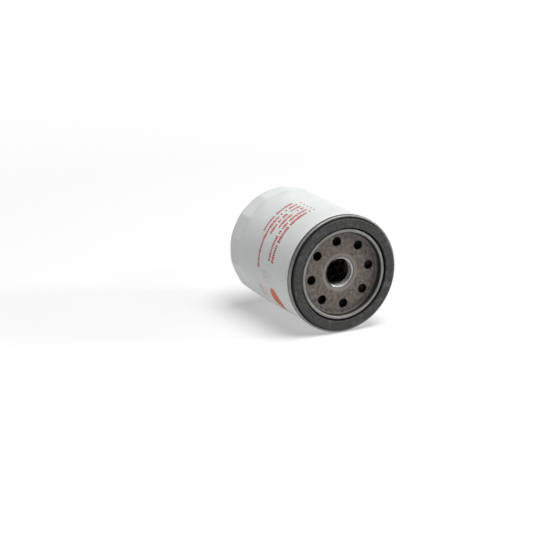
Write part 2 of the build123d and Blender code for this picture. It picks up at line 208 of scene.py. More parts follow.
def thicken(path, half):
    """The closed outline of a sheet whose middle follows an open path."""
    along = np.gradient(path, axis=0)
    along /= np.linalg.norm(along, axis=1)[:, None]
    across = np.stack([-along[:, 1], along[:, 0]], -1) * half
    return np.concatenate([path + across, (path - across)[::-1]])


def refine(profile, longest, closed=True):
    """The profile with extra points on its long sides."""
    fine = []
    count = len(profile) if closed else len(profile) - 1
    for i in range(count):
        a, b = profile[i], profile[(i + 1) % len(profile)]
        parts = max(1, math.ceil(np.linalg.norm(b - a) / longest))
        fine += [a + (b - a) * k / parts for k in range(parts)]
    if not closed:
        fine.append(profile[-1])
    return np.array(fine)


def grid_faces(rows, columns, wrap_rows, wrap_columns, first=0):
    """Quads over a grid of vertices stored row by row."""
    i = np.arange(rows if wrap_rows else rows - 1)[:, None]
    j = np.arange(columns if wrap_columns else columns - 1)[None, :]
    i1, j1 = (i + 1) % rows, (j + 1) % columns
    quads = [i * columns + j, i * columns + j1, i1 * columns + j1, i1 * columns + j]
    return (np.stack(np.broadcast_arrays(*quads), -1).reshape(-1, 4) + first).tolist()


def turned(r, y, angle):
    """Points at these radii, places along the axis and angles, one after another."""
    r, y, angle = np.broadcast_arrays(r, y, angle)
    return np.stack([r * np.cos(angle), y, r * np.sin(angle)], -1).reshape(-1, 3)


def lathe(profile, segments, warp=None, closed=True):
    """(vertices, faces) of a profile turned about the axis; warp(r, y, angle) gives the moved r and y."""
    angle = np.linspace(0, 2 * math.pi, segments, endpoint=False)[None, :]
    r = np.repeat(profile[:, :1], segments, 1)
    y = np.repeat(profile[:, 1:], segments, 1)
    if warp:
        r, y = warp(r, y, angle)
    return turned(r, y, angle), grid_faces(len(profile), segments, closed, True)


def make_piece(name, parts, body, material, nodes):
    """A smooth mesh object from one or more (vertices, faces), riding on a body."""
    vertices, faces = [], []
    for points, quads in parts:
        offset = sum(len(v) for v in vertices)
        vertices.append(np.asarray(points))
        faces += [[k + offset for k in quad] for quad in quads]
    mesh = bpy.data.meshes.new(name)
    mesh.from_pydata((np.concatenate(vertices) * MM).tolist(), [], faces)
    work = bmesh.new()
    work.from_mesh(mesh)
    bmesh.ops.remove_doubles(work, verts=work.verts, dist=1e-7)
    bmesh.ops.dissolve_degenerate(work, dist=1e-8, edges=work.edges)
    bmesh.ops.recalc_face_normals(work, faces=work.faces)
    work.to_mesh(mesh)
    work.free()
    mesh.shade_smooth()
    mesh.set_sharp_from_angle(angle=math.radians(38))
    piece = bpy.data.objects.new(name, mesh)
    bpy.context.scene.collection.objects.link(piece)
    mesh.materials.append(material)
    if body:
        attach(piece, body)
    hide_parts(*nodes)
    return piece


def ripple(angle, seed, waves=(3, 5, 8, 13, 21, 34)):
    """A smooth uneven value from 0 to 1 around the axis."""
    rng = np.random.default_rng(seed)
    total = sum(np.sin(n * angle + rng.uniform(0, 2 * math.pi)) * rng.uniform(0.4, 1) for n in waves)
    return 0.5 + total / (2 * len(waves))


def soft_min(a, b, blend):
    """The smaller of two values, with the crossover rounded over blend."""
    near = np.maximum(blend - np.abs(a - b), 0) / blend
    return np.minimum(a, b) - near * near * blend / 4


def can_profile(inset):
    """The can's surface from its seam up the wall, over the shoulder and to the middle of the dome."""
    wall = CAN_R - inset
    bend = SHOULDER_R - inset
    bend_x = CAN_R - SHOULDER_R
    plain_y = np.arange(4.0, FLUTE_Y[0] - 2, 4.0)
    fluted_y = np.arange(FLUTE_Y[0] - 1.5, SHOULDER_Y, 0.3)
    wall_y = np.concatenate([plain_y, fluted_y])
    points = [(wall - dip, y) for y, dip in NECK_DIP] + [(wall, y) for y in wall_y]
    for a in np.linspace(0, math.pi / 2 - DOME_SLOPE, 26):
        points.append((bend_x + bend * math.cos(a), SHOULDER_Y + bend * math.sin(a)))
    end_r, end_y = points[-1]
    for r in np.linspace(end_r, 0, 60)[1:]:
        step = np.clip((RECESS_R + RECESS_EDGE - r) / (2 * RECESS_EDGE), 0, 1)
        step = step * step * (3 - 2 * step)
        slope_y = end_y + (end_r - max(r, RECESS_R)) * math.tan(DOME_SLOPE)
        points.append((r, slope_y - step * RECESS - 0.03))
    return points


def flute_warp(r, y, angle):
    """Flattens the wall and shoulder into the wrench flutes; the second half of the rows is the inside."""
    rows = r.shape[0] // 2
    inset = np.concatenate([np.zeros(rows), np.full(r.shape[0] - rows, SHEET)])[:, None]
    step = 2 * math.pi / FLUTES
    local = (angle + step / 2) % step - step / 2
    run = (y - FLUTE_Y[0]) / (FLUTE_Y[1] - FLUTE_Y[0])
    run = np.where(run > 0, np.minimum(run, 1) ** 1.3, run)
    flat = (CAN_R - inset - FLUTE_DEPTH * run) / np.cos(local)
    fluted = soft_min(r, flat, FLUTE_SOFTNESS)
    return np.where(y > FLUTE_Y[0] - 1.6, fluted, r), y


def build_can():
    outside = [(HOOK_R, RIM_Y), (HOOK_R, HOOK_Y)] + can_profile(0)
    inside = [(CAN_R - SHEET, RIM_Y)] * 2 + can_profile(SHEET)
    profile = np.array(outside + inside[::-1])
    return lathe(profile, CAN_SEGMENTS, flute_warp)


def lid_warp(r, y, angle):
    """Presses the nubs out of the lip and leaves the roll of the seam slightly uneven."""
    outer_wall = (r > LIP_R[1] + 0.1) & (r < LIP_R[1] + 0.5)
    for k in range(NUBS):
        turn = (angle - NUB_START - 2 * math.pi * k / NUBS + math.pi) % (2 * math.pi) - math.pi
        away = ((turn * LIP_R[1]) ** 2 + (y - NUB_Y) ** 2) / (2 * NUB_WIDTH ** 2)
        r = r + np.where(outer_wall, NUB_HEIGHT * np.exp(-away), 0)
    roll = np.clip((r - 36.8) / 0.6, 0, 1)
    return r - 0.05 * roll * ripple(angle, 3), y + 0.05 * roll * (y < -2) * ripple(angle, 4)


def build_lid():
    middle = refine(round_corners(LID_PATH), 0.4, closed=False)
    return lathe(thicken(middle, SHEET / 2), LID_SEGMENTS, lid_warp)


def gasket_warp(r, y, angle):
    """Moulding unevenness and small nicks, always towards the rubber's inside."""
    outer = (r > sum(GASKET_R) / 2)
    shift = np.where(outer, -0.12 * ripple(angle, 5), 0.12 * ripple(angle, 6, (4, 9, 17, 31, 47)))
    front = np.clip((-4.6 - y) / 0.9, 0, 1)
    return r + shift, y + 0.07 * front * ripple(angle, 7, (2, 5, 11, 23, 41))


def build_gasket():
    inner, outer = GASKET_R
    front, back = GASKET_Y
    corners = [(inner, back, 0.2), (inner, front, 0.5), (outer, front, 0.75), (outer, back, 0.3)]
    return lathe(refine(round_corners(corners), 0.35), GASKET_SEGMENTS, gasket_warp)


# ---------------------------------------------------------------- tapping plate

ARC_STEPS = 32               # points along a sector's arcs and sides
SIDE_STEPS = 20
BORE_ROWS = 150
ROOT_FLAT = 0.06             # half the flat at the root of the thread's groove


def sector_outline(middle):
    """Points around one sector of the plate's face, anticlockwise, starting at its inner right corner."""
    half = math.pi / INLETS
    inner, outer = PATCH_R
    sweep = np.linspace(-half, half, ARC_STEPS, endpoint=False)
    side = np.linspace(inner, outer, SIDE_STEPS, endpoint=False)
    right = [(r, -half) for r in side]
    top = [(outer, a) for a in sweep]
    left = [(outer + inner - r, half) for r in side]
    bottom = [(inner, -a) for a in sweep]
    polar = np.array(right + top + left + bottom)
    r, angle = polar[:, 0], polar[:, 1] + middle
    return np.stack([r * np.cos(angle), r * np.sin(angle)], -1)


def inlet_rings(middle):
    """Front, hole wall and back of the sector around one inlet hole, as rings of points."""
    outline = sector_outline(middle)
    centre = INLET_CIRCLE_R * np.array([math.cos(middle), math.sin(middle)])
    toward = outline - centre
    toward /= np.linalg.norm(toward, axis=1)[:, None]
    rings = []

    def ring(radius, y):
        flat = centre + toward * radius
        rings.append(np.stack([flat[:, 0], np.full(len(flat), y), flat[:, 1]], -1))

    def sheet(y, shares):
        edge = centre + toward * (INLET_R + INLET_EDGE)
        for t in shares:
            flat = edge + (outline - edge) * t
            rings.append(np.stack([flat[:, 0], np.full(len(flat), y), flat[:, 1]], -1))

    shares = [1, 0.6, 0.3, 0.12, 0]
    turn = np.linspace(0, math.pi / 2, 6)[1:]
    sheet(0.0, shares)
    for a in turn:
        ring(INLET_R + INLET_EDGE * (1 - math.sin(a)), INLET_EDGE * (1 - math.cos(a)))
    ring(INLET_R, PLATE / 2)
    for a in turn[::-1]:
        ring(INLET_R + INLET_EDGE * (1 - math.sin(a)), PLATE - INLET_EDGE * (1 - math.cos(a)))
    sheet(PLATE, shares[::-1])
    return np.concatenate(rings), grid_faces(len(rings), len(outline), False, True)


def thread_radius(y, angle):
    """Radius of the threaded wall: crests at its smaller radius, 60 degree grooves down to the larger."""
    phase = (y / THREAD_PITCH + angle / (2 * math.pi)) % 1
    from_root = np.abs(phase - 0.5) * THREAD_PITCH
    depth = THREAD_R[1] - np.maximum(from_root - ROOT_FLAT, 0) * math.sqrt(3)
    cut = np.clip(depth, THREAD_R[0], THREAD_R[1]) - THREAD_R[0]
    fade = np.clip((y - THREAD_Y[0]) / 0.5, 0, 1) * np.clip((THREAD_Y[1] - y) / 0.5, 0, 1)
    return THREAD_R[0] + cut * fade


def build_plate():
    """Eight sectors with their holes, the rim outside them, and the mouth, thread and neck inside."""
    segments = INLETS * ARC_STEPS
    start = INLET_START - math.pi / INLETS
    angle = (start + np.linspace(0, 2 * math.pi, segments, endpoint=False))[None, :]
    parts = [inlet_rings(INLET_START + 2 * math.pi * k / INLETS) for k in range(INLETS)]
    front = [(PATCH_R[1], 0), (31, 0), (PLATE_R - 0.6, 0), (PLATE_R - 0.15, 0.15), (PLATE_R, 0.6)]
    rim = np.array(front + [(r, PLATE - y) for r, y in front[::-1]])
    parts.append((turned(rim[:, :1], rim[:, 1:], angle), grid_faces(len(rim), segments, False, True)))
    dish = [(r, LEAD_IN[1] * ((MOUTH_R - r) / (MOUTH_R - LEAD_IN[0])) ** 2)
            for r in np.linspace(MOUTH_R, LEAD_IN[0], 8)]
    dish += [(LEAD_IN[0] + (THREAD_R[0] - LEAD_IN[0]) * t, LEAD_IN[1] + (THREAD_Y[0] - LEAD_IN[1]) * t)
             for t in (0.15, 0.4, 0.7, 1.0)]
    bore = [(THREAD_R[0], y) for y in np.linspace(*THREAD_Y, BORE_ROWS)[1:]]
    neck = [(9.8, NECK_Y), (11.6, NECK_Y), (12.0, 10.8), (NECK_R, 10.4), (NECK_R, 4.2), (12.5, 3.4),
            (PATCH_R[0], PLATE)]
    profile = np.array([(PATCH_R[0], 0)] + dish + bore + neck)
    r, y = np.repeat(profile[:, :1], segments, 1), profile[:, 1:]
    threaded = np.zeros((len(profile), 1), bool)
    threaded[1 + len(dish):1 + len(dish) + len(bore)] = True
    r = np.where(threaded, thread_radius(y, angle), r)
    parts.append((turned(r, y, angle), grid_faces(len(profile), segments, False, True)))
    return parts


# ---------------------------------------------------------------- element and valves

def build_paper():
    """One sheet folded into pleats with rounded folds."""
    step = 2 * math.pi / PLEATS
    corners = []
    for k in range(PLEATS):
        outer_fold = (FOLD_R[1], FOLD_HALF[1], k * step)
        inner_fold = (FOLD_R[0], FOLD_HALF[0], (k + 0.5) * step)
        for r, half, middle in (outer_fold, inner_fold):
            for side in (-1, 1):
                corners.append((r * math.cos(middle) - side * half * math.sin(middle),
                                r * math.sin(middle) + side * half * math.cos(middle), FOLD_ROUND))
    line = refine(round_corners(corners, 4), 3.0)
    along = np.roll(line, -1, 0) - np.roll(line, 1, 0)
    across = np.stack([along[:, 1], -along[:, 0]], -1) / np.linalg.norm(along, axis=1)[:, None]
    rows = []
    ys = np.linspace(*MEDIA_Y, 13)
    for side, order in ((1, ys), (-1, ys[::-1])):
        for y in order:
            flat = line + across * side * PAPER / 2
            rows.append(np.stack([flat[:, 0], np.full(len(flat), y), flat[:, 1]], -1))
    return np.concatenate(rows), grid_faces(len(rows), len(line), True, True)


def build_coil():
    """The bypass valve's spring wire, its pitch a little wider at the ends than in the middle."""
    t = np.linspace(0, 1, COIL_STEPS)
    lift = t + 0.045 * np.sin(2 * math.pi * t) / math.pi
    angle = 2 * math.pi * COIL_TURNS * t
    centre = turned(COIL_R, COIL_Y[0] + (COIL_Y[1] - COIL_Y[0]) * lift, angle)
    out = turned(1, 0, angle)
    ring = np.linspace(0, 2 * math.pi, 16, endpoint=False)
    rows = [c + COIL_WIRE_R * (np.cos(ring)[:, None] * o + np.sin(ring)[:, None] * np.array([0, 1, 0]))
            for c, o in zip(centre, out)]
    quads = grid_faces(COIL_STEPS, len(ring), False, True)
    quads += [list(range(len(ring)))[::-1], list(range((COIL_STEPS - 1) * len(ring), COIL_STEPS * len(ring)))]
    return np.concatenate(rows), quads


def washer(radii, ys, edge):
    """A flat ring with rounded edges."""
    (inner, outer), (front, back) = radii, ys
    corners = [(inner, back, edge), (inner, front, edge), (outer, front, edge), (outer, back, edge)]
    return refine(round_corners(corners, 5), 1.5)


def rubber_outline(points, edge):
    return refine(round_corners([(r, y, edge) for r, y in points], 4), 1.0)


# ---------------------------------------------------------------- materials

class Shader:
    """A material's node tree, with short calls to add to it."""

    def __init__(self, name):
        self.material = bpy.data.materials.new(name)
        self.material.use_nodes = True
        self.tree = self.material.node_tree
        self.surface = self.tree.nodes["Principled BSDF"]
        place = self.node("ShaderNodeTexCoord").outputs["Object"]
        in_mm = self.node("ShaderNodeVectorMath", {0: place, 1: (1 / MM,) * 3}, operation="MULTIPLY")
        self.place = in_mm.outputs[0]
        parts = self.node("ShaderNodeSeparateXYZ", {0: self.place}).outputs
        self.x, self.y, self.z = parts[0], parts[1], parts[2]

    def node(self, kind, inputs=None, **settings):
        made = self.tree.nodes.new(kind)
        for key, value in settings.items():
            setattr(made, key, value)
        for key, value in (inputs or {}).items():
            if isinstance(value, bpy.types.NodeSocket):
                self.tree.links.new(value, made.inputs[key])
            else:
                made.inputs[key].default_value = value
        return made

    def math(self, operation, *values, clamp=False):
        inputs = dict(enumerate(values))
        return self.node("ShaderNodeMath", inputs, operation=operation, use_clamp=clamp).outputs[0]

    def ramp(self, value, low, high):
        """0 below low and 1 above high; the other way round where high is less than low."""
        return self.node("ShaderNodeMapRange", {0: value, 1: low, 2: high, 3: 0.0, 4: 1.0}).outputs[0]

    def scaled(self, value, low, high):
        return self.node("ShaderNodeMapRange", {0: value, 1: 0.0, 2: 1.0, 3: low, 4: high}).outputs[0]

    def noise(self, size, detail=3.0, vector=None, roughness=0.55):
        """Noise with features of about size millimetres, from 0 to 1."""
        inputs = {"Vector": vector or self.place, "Scale": 1 / size, "Detail": detail,
                  "Roughness": roughness}
        value = self.node("ShaderNodeTexNoise", inputs).outputs["Fac"]
        return self.ramp(value, 0.3, 0.7)

    def mix(self, share, a, b):
        made = self.node("ShaderNodeMix", {0: share}, data_type="RGBA")
        for key, value in ((6, a), (7, b)):
            if isinstance(value, bpy.types.NodeSocket):
                self.tree.links.new(value, made.inputs[key])
            else:
                made.inputs[key].default_value = (*value, 1)
        return made.outputs[2]

    def specks(self, cell, radius, share):
        """1 on small round specks, about one in a share of cells of this size."""
        found = self.node("ShaderNodeTexVoronoi", {"Vector": self.place, "Scale": 1 / cell}).outputs
        pick = self.node("ShaderNodeSeparateColor", {0: found["Color"]}).outputs[0]
        near = self.ramp(found["Distance"], radius / cell, radius * 0.6 / cell)
        return self.math("MULTIPLY", near, self.math("LESS_THAN", pick, share))

    def length(self, a, b):
        flat = self.node("ShaderNodeCombineXYZ", {0: a, 1: b}).outputs[0]
        return self.node("ShaderNodeVectorMath", {0: flat}, operation="LENGTH").outputs["Value"]

    def radius(self):
        return self.length(self.x, self.z)

    def around(self):
        """Degrees about the axis from the top, towards -X, from -180 to 180."""
        turn = self.math("ARCTAN2", self.math("MULTIPLY", self.x, -1.0), self.z)
        return self.math("DEGREES", turn)

    def bump(self, height, distance, below=None):
        inputs = {"Height": height, "Distance": distance * MM, "Strength": 1.0}
        if below:
            inputs["Normal"] = below
        return self.node("ShaderNodeBump", inputs).outputs[0]

    def finish(self, color, roughness, normal, constants=()):
        for key, value in (("Base Color", color), ("Roughness", roughness), ("Normal", normal)):
            self.tree.links.new(value, self.surface.inputs[key])
        for key, value in dict(constants).items():
            self.surface.inputs[key].default_value = value
        return self.material


def plain_finish(name, low, high, size, rough, grain, depth, metallic=0.0, stain=None):
    """A finish whose colour and roughness vary over two sizes of patch, with a fine grain."""
    s = Shader(name)
    broad = s.noise(size, 4.0)
    fine = s.noise(grain, 3.0)
    share = s.math("ADD", s.math("MULTIPLY", broad, 0.6), s.math("MULTIPLY", fine, 0.4))
    color = s.mix(share, low, high)
    if stain:
        color = s.mix(s.math("MULTIPLY", s.noise(9.0, 6.0), 0.5), color, stain)
    roughness = s.scaled(s.noise(size * 0.4, 3.0), *rough)
    return s.finish(color, roughness, s.bump(fine, depth), {"Metallic": metallic})


def faint_rows(s, arc, turn, turns, ys):
    """Short strokes in rows that run round the can, between two angles and two places along Y."""
    row_place = s.math("DIVIDE", s.y, 2.4)
    cell_place = s.math("DIVIDE", arc, 0.9)
    cell, row = s.math("FLOOR", cell_place), s.math("FLOOR", row_place)
    key = s.node("ShaderNodeCombineXYZ", {0: cell, 1: row}).outputs[0]
    found = s.node("ShaderNodeTexWhiteNoise", {"Vector": key}, noise_dimensions="2D").outputs["Value"]
    across = s.math("ABSOLUTE", s.math("SUBTRACT", s.math("FRACT", row_place), 0.5))
    mark = s.math("MULTIPLY", s.math("GREATER_THAN", found, 0.3), s.ramp(across, 0.34, 0.28))
    for value, (low, high) in ((turn, turns), (s.y, ys)):
        mark = s.math("MULTIPLY", mark, s.math("GREATER_THAN", value, low))
        mark = s.math("MULTIPLY", mark, s.math("LESS_THAN", value, high))
    return mark


def print_masks(s):
    """(ink, panel) on the can's outside: rows of upright strokes, dots before them, a ring, and an oval."""
    turn = s.around()
    arc = s.math("MULTIPLY", turn, math.radians(CAN_R))
    row_place = s.math("ADD", s.math("DIVIDE", s.math("SUBTRACT", s.y, FIRST_ROW_Y), ROW_PITCH), 0.5)
    row = s.math("FLOOR", row_place)
    height = s.math("MULTIPLY", s.math("SUBTRACT", s.math("FRACT", row_place), 0.5), ROW_PITCH)
    ends = s.node("ShaderNodeValToRGB", {0: s.math("DIVIDE", s.math("ADD", row, 0.5), len(ROW_ENDS))})
    ends.color_ramp.interpolation = "CONSTANT"
    stops = ends.color_ramp.elements
    while len(stops) < len(ROW_ENDS):
        stops.new(0.5)
    for k, end in enumerate(ROW_ENDS):
        stops[k].position = k / len(ROW_ENDS)
        stops[k].color = (end / 100,) * 3 + (1,)
    end = s.math("MULTIPLY", s.node("ShaderNodeSeparateColor", {0: ends.outputs[0]}).outputs[0], 100.0)
    rows = s.math("MULTIPLY", s.math("GREATER_THAN", row_place, 0.0),
                  s.math("LESS_THAN", row_place, float(len(ROW_ENDS))))
    inside = s.math("MULTIPLY", s.math("GREATER_THAN", turn, ROW_START), s.math("LESS_THAN", turn, end))
    inside = s.math("MULTIPLY", inside, rows)

    bold = s.math("LESS_THAN", row, 0.5)
    cell_place = s.math("DIVIDE", arc, s.scaled(bold, 1.3, 1.5))
    cell = s.math("FLOOR", cell_place)
    key = s.node("ShaderNodeCombineXYZ", {0: cell, 1: row}).outputs[0]
    chance = s.node("ShaderNodeTexWhiteNoise", {"Vector": key}, noise_dimensions="2D").outputs
    word = s.math("GREATER_THAN", chance["Value"], 0.16)
    tall = s.node("ShaderNodeSeparateColor", {0: chance["Color"]}).outputs[1]
    taller = s.math("MULTIPLY", s.math("GREATER_THAN", tall, 0.6), 0.4)
    reach = s.math("ADD", s.scaled(bold, 0.95, 1.1), taller)
    across = s.math("ABSOLUTE", s.math("SUBTRACT", s.math("FRACT", cell_place), 0.5))
    stroke = s.ramp(across, s.scaled(bold, 0.43, 0.45), s.scaled(bold, 0.33, 0.35))
    tip = s.ramp(s.math("SUBTRACT", reach, s.math("ABSOLUTE", height)), 0.0, 0.08)
    strokes = s.math("MULTIPLY", s.math("MULTIPLY", stroke, tip), s.math("MULTIPLY", word, inside))

    dot_away = s.math("MULTIPLY", s.math("SUBTRACT", turn, DOT_ANGLE), math.radians(CAN_R))
    dot = s.ramp(s.length(dot_away, height), 0.72, 0.6)
    dots = s.math("MULTIPLY", dot, s.math("MULTIPLY", rows, s.math("LESS_THAN", row_place, 5.0)))

    ring_away = s.length(s.math("MULTIPLY", s.math("SUBTRACT", turn, EMBLEM_ANGLE), math.radians(CAN_R)),
                         s.math("SUBTRACT", s.y, EMBLEM_Y))
    ring = s.math("MULTIPLY", s.ramp(ring_away, 5.0, 4.9), s.ramp(ring_away, 4.2, 4.3))
    disc = s.ramp(ring_away, 3.2, 3.1)

    panel_arc = s.math("MULTIPLY", s.math("SUBTRACT", turn, PANEL_PLACE[0]),
                       math.radians(CAN_R) / PANEL_HALF[0])
    panel_y = s.math("DIVIDE", s.math("SUBTRACT", s.y, PANEL_PLACE[1]), PANEL_HALF[1])
    panel = s.ramp(s.length(panel_arc, panel_y), 1.0, 0.95)
    ink = s.math("MAXIMUM", s.math("MAXIMUM", strokes, dots), s.math("MAXIMUM", ring, disc))
    for turns, ys, strength in FAINT_ROWS:
        ink = s.math("MAXIMUM", ink, s.math("MULTIPLY", faint_rows(s, arc, turn, turns, ys), strength))
    outside = s.ramp(s.radius(), CAN_R - 0.3, CAN_R - 0.15)
    return s.math("MULTIPLY", ink, outside), s.math("MULTIPLY", panel, outside)


def enamel():
    """Satin white stoved enamel with its print, a faint orange peel, a few specks, and painted shade, partly
    dirt, on the neck.
    """
    s = Shader("white_enamel")
    white = s.mix(s.noise(24.0, 3.0), (0.62, 0.647, 0.632), (0.675, 0.70, 0.685))
    white = s.mix(s.math("MULTIPLY", s.specks(26.0, 0.4, 0.14), 0.6), white, (0.16, 0.16, 0.15))
    ink, panel = print_masks(s)
    worn = s.scaled(s.noise(0.7, 2.0), 0.85, 1.0)
    blotched = s.scaled(s.noise(1.1, 3.0), 0.85, 1.0)
    orange = s.mix(s.noise(2.0, 4.0), (0.56, 0.05, 0.001), (0.58, 0.13, 0.002))
    color = s.mix(s.math("MULTIPLY", panel, blotched), white, orange)
    color = s.mix(s.math("MULTIPLY", ink, worn), color, (0.42, 0.010, 0.022))
    # Painted shade, partly dirt: the neck behind the seam is made near black.
    neck_shade_and_dirt = s.math("MULTIPLY", s.ramp(s.y, 1.3, 0.2), s.scaled(s.noise(2.0, 4.0), 0.75, 0.95))
    color = s.mix(neck_shade_and_dirt, color, (0.07, 0.068, 0.064))
    roughness = s.scaled(s.noise(5.0, 3.0), 0.38, 0.48)
    peel = s.bump(s.noise(1.6, 1.0), 0.0015)
    return s.finish(color, roughness, peel, {"Specular IOR Level": 0.22})


def brown_steel(s):
    """Mottled brown-grey phosphate, with a little rust and a cool tint in places."""
    share = s.math("ADD", s.math("MULTIPLY", s.noise(0.6, 4.0), 0.45),
                   s.math("MULTIPLY", s.noise(2.4, 4.0), 0.55))
    color = s.mix(s.ramp(share, 0.15, 0.85), (0.042, 0.033, 0.027), (0.205, 0.178, 0.158))
    color = s.mix(s.math("MULTIPLY", s.noise(7.0, 4.0), 0.3), color, (0.13, 0.11, 0.096))
    color = s.mix(s.math("MULTIPLY", s.ramp(s.noise(1.0, 4.0), 0.7, 1.0), 0.5), color, (0.30, 0.14, 0.075))
    return s.mix(s.math("MULTIPLY", s.ramp(s.noise(1.4, 4.0), 0.72, 1.0), 0.4), color, (0.11, 0.21, 0.20))


def lid_steel():
    """Plated sheet: brown-grey where it lies on the plate, with painted shade on the lip's inner wall and at
    its foot, a painted dark reflection on the seam's side, and painted highlights on the lip's crest and the
    seam's front edge.
    """
    s = Shader("plated_sheet")
    r = s.radius()
    stretched = s.node("ShaderNodeCombineXYZ", {0: s.math("MULTIPLY", s.around(), 0.05),
                                                1: s.math("MULTIPLY", r, 2.0),
                                                2: s.math("MULTIPLY", s.y, 2.0)}).outputs[0]
    streaks = s.noise(1.0, 4.0, vector=stretched)
    light = s.mix(streaks, (0.20, 0.196, 0.19), (0.31, 0.305, 0.296))
    # Painted highlight: the lip's crest and the seam's front edge are made lighter; these worn parts are also
    # smoother.
    crest_highlight = s.math("MULTIPLY", s.ramp(s.y, -4.05, -4.45), s.ramp(r, 29.6, 29.3))
    seam = s.math("MULTIPLY", s.ramp(r, 36.3, 36.6), s.ramp(s.y, -1.4, -1.9))
    # Painted shade: the lip's inner wall and the corner at its foot are made near black.
    inner_wall_shade = s.math("MULTIPLY", s.ramp(s.y, -0.5, -1.2), s.ramp(r, 25.6, 26.4))
    corner_shade = s.math("MULTIPLY", s.ramp(r, 24.9, 26.8), 0.85)
    dull_with_painted_shade = s.mix(s.math("MAXIMUM", inner_wall_shade, corner_shade), brown_steel(s), (0.02, 0.018, 0.016))
    # Painted dark reflection: the seam's outer side is made dark grey.
    dull_with_painted_shade = s.mix(s.ramp(r, 36.2, 36.6), dull_with_painted_shade, (0.10, 0.097, 0.092))
    highlight_and_wear = s.math("MAXIMUM", crest_highlight, seam)
    color = s.mix(highlight_and_wear, dull_with_painted_shade, light)
    color = s.mix(s.math("MULTIPLY", s.noise(3.0, 6.0), 0.25), color, (0.14, 0.132, 0.125))
    roughness = s.scaled(s.math("MULTIPLY", highlight_and_wear, s.noise(2.0, 3.0)), 0.55, 0.36)
    return s.finish(color, roughness, s.bump(streaks, 0.008), {"Metallic": 0.6})


def plate_steel():
    """Phosphated plate with a turned mouth and thread, painted highlights on the thread's crests, and painted
    shade on its cone, in its grooves, on one side of the bore, deep in the bore and in the holes.
    """
    s = Shader("phosphated_steel")
    r = s.radius()
    fine = s.noise(0.4, 3.0)
    mouth = s.mix(fine, (0.17, 0.158, 0.148), (0.30, 0.283, 0.266))
    color = s.mix(s.math("MULTIPLY", s.ramp(r, 12.7, 12.0), 0.6), brown_steel(s), mouth)
    # Painted highlight: the thread's crests get a much lighter colour. Painted shade: the cone at the bore's
    # mouth gets a dark colour.
    crests = s.mix(fine, (0.44, 0.425, 0.41), (0.66, 0.64, 0.62))
    cone = s.mix(fine, (0.085, 0.079, 0.073), (0.15, 0.141, 0.132))
    # Painted shade: the thread's grooves are made near black.
    grooves = s.math("MULTIPLY", s.ramp(r, 8.92, 9.2), s.ramp(s.y, 1.05, 1.25))
    bore = s.ramp(r, 10.4, 9.9)
    turns = s.mix(grooves, s.mix(s.ramp(s.y, 0.55, 0.75), cone, crests), (0.014, 0.013, 0.012))
    color = s.mix(bore, color, turns)
    # Painted shade: the bore's -X side is made near black.
    uneven = s.math("ADD", s.x, s.scaled(s.noise(2.5, 3.0), -2.0, 2.0))
    bore_side_shade = s.math("MULTIPLY", s.ramp(uneven, 0.0, -6.0), s.ramp(r, 10.4, 10.1))
    color = s.mix(bore_side_shade, color, (0.02, 0.018, 0.016))
    # Painted shade: the bore deeper than about 6 mm, the inlet holes' walls and the plate's back are made
    # near black.
    deep_bore_shade = s.ramp(s.y, 5.2, 6.0)
    holes = s.math("MULTIPLY", s.ramp(r, 13.0, 13.2), s.ramp(s.y, 0.08, 0.3))
    color = s.mix(s.math("MAXIMUM", deep_bore_shade, holes), color, (0.008, 0.007, 0.006))
    roughness = s.scaled(bore, 0.6, 0.34)
    return s.finish(color, roughness, s.bump(fine, 0.02), {"Metallic": 0.4})


def gasket_rubber():
    """Matt dark grey rubber with pale bloom in patches, fine moulding grain and painted shade on its sides
    and back.
    """
    s = Shader("gasket_rubber")
    fine = s.noise(0.35, 4.0)
    color = s.mix(s.noise(1.4, 5.0), (0.009, 0.0088, 0.0083), (0.041, 0.040, 0.038))
    bloom = s.math("MULTIPLY", s.ramp(s.noise(4.5, 8.0), 0.55, 1.0), 0.4)
    color = s.mix(bloom, color, (0.115, 0.113, 0.107))
    color = s.mix(s.math("MULTIPLY", s.specks(2.6, 0.28, 0.2), 0.7), color, (0.3, 0.3, 0.29))
    # Painted shade: the gasket's sides and back, behind its front face, are made near black.
    color = s.mix(s.ramp(s.y, -5.25, -4.9), color, (0.007, 0.007, 0.007))
    roughness = s.scaled(fine, 0.55, 0.8)
    return s.finish(color, roughness, s.bump(fine, 0.03))


def paper():
    """Resin-treated filter paper: fibres, faint ribs along the pleats and resin-darkened patches."""
    s = Shader("filter_paper")
    fibres = s.noise(0.3, 6.0)
    ribs = s.node("ShaderNodeTexWave", {"Vector": s.place, "Scale": 0.35, "Distortion": 0.6},
                  bands_direction="Y").outputs["Fac"]
    color = s.mix(fibres, (0.22, 0.15, 0.08), (0.34, 0.25, 0.15))
    color = s.mix(s.math("MULTIPLY", s.noise(8.0, 4.0), 0.35), color, (0.16, 0.10, 0.05))
    height = s.math("ADD", s.math("MULTIPLY", ribs, 0.6), s.math("MULTIPLY", fibres, 0.4))
    return s.finish(color, s.scaled(fibres, 0.75, 0.95), s.bump(height, 0.05))


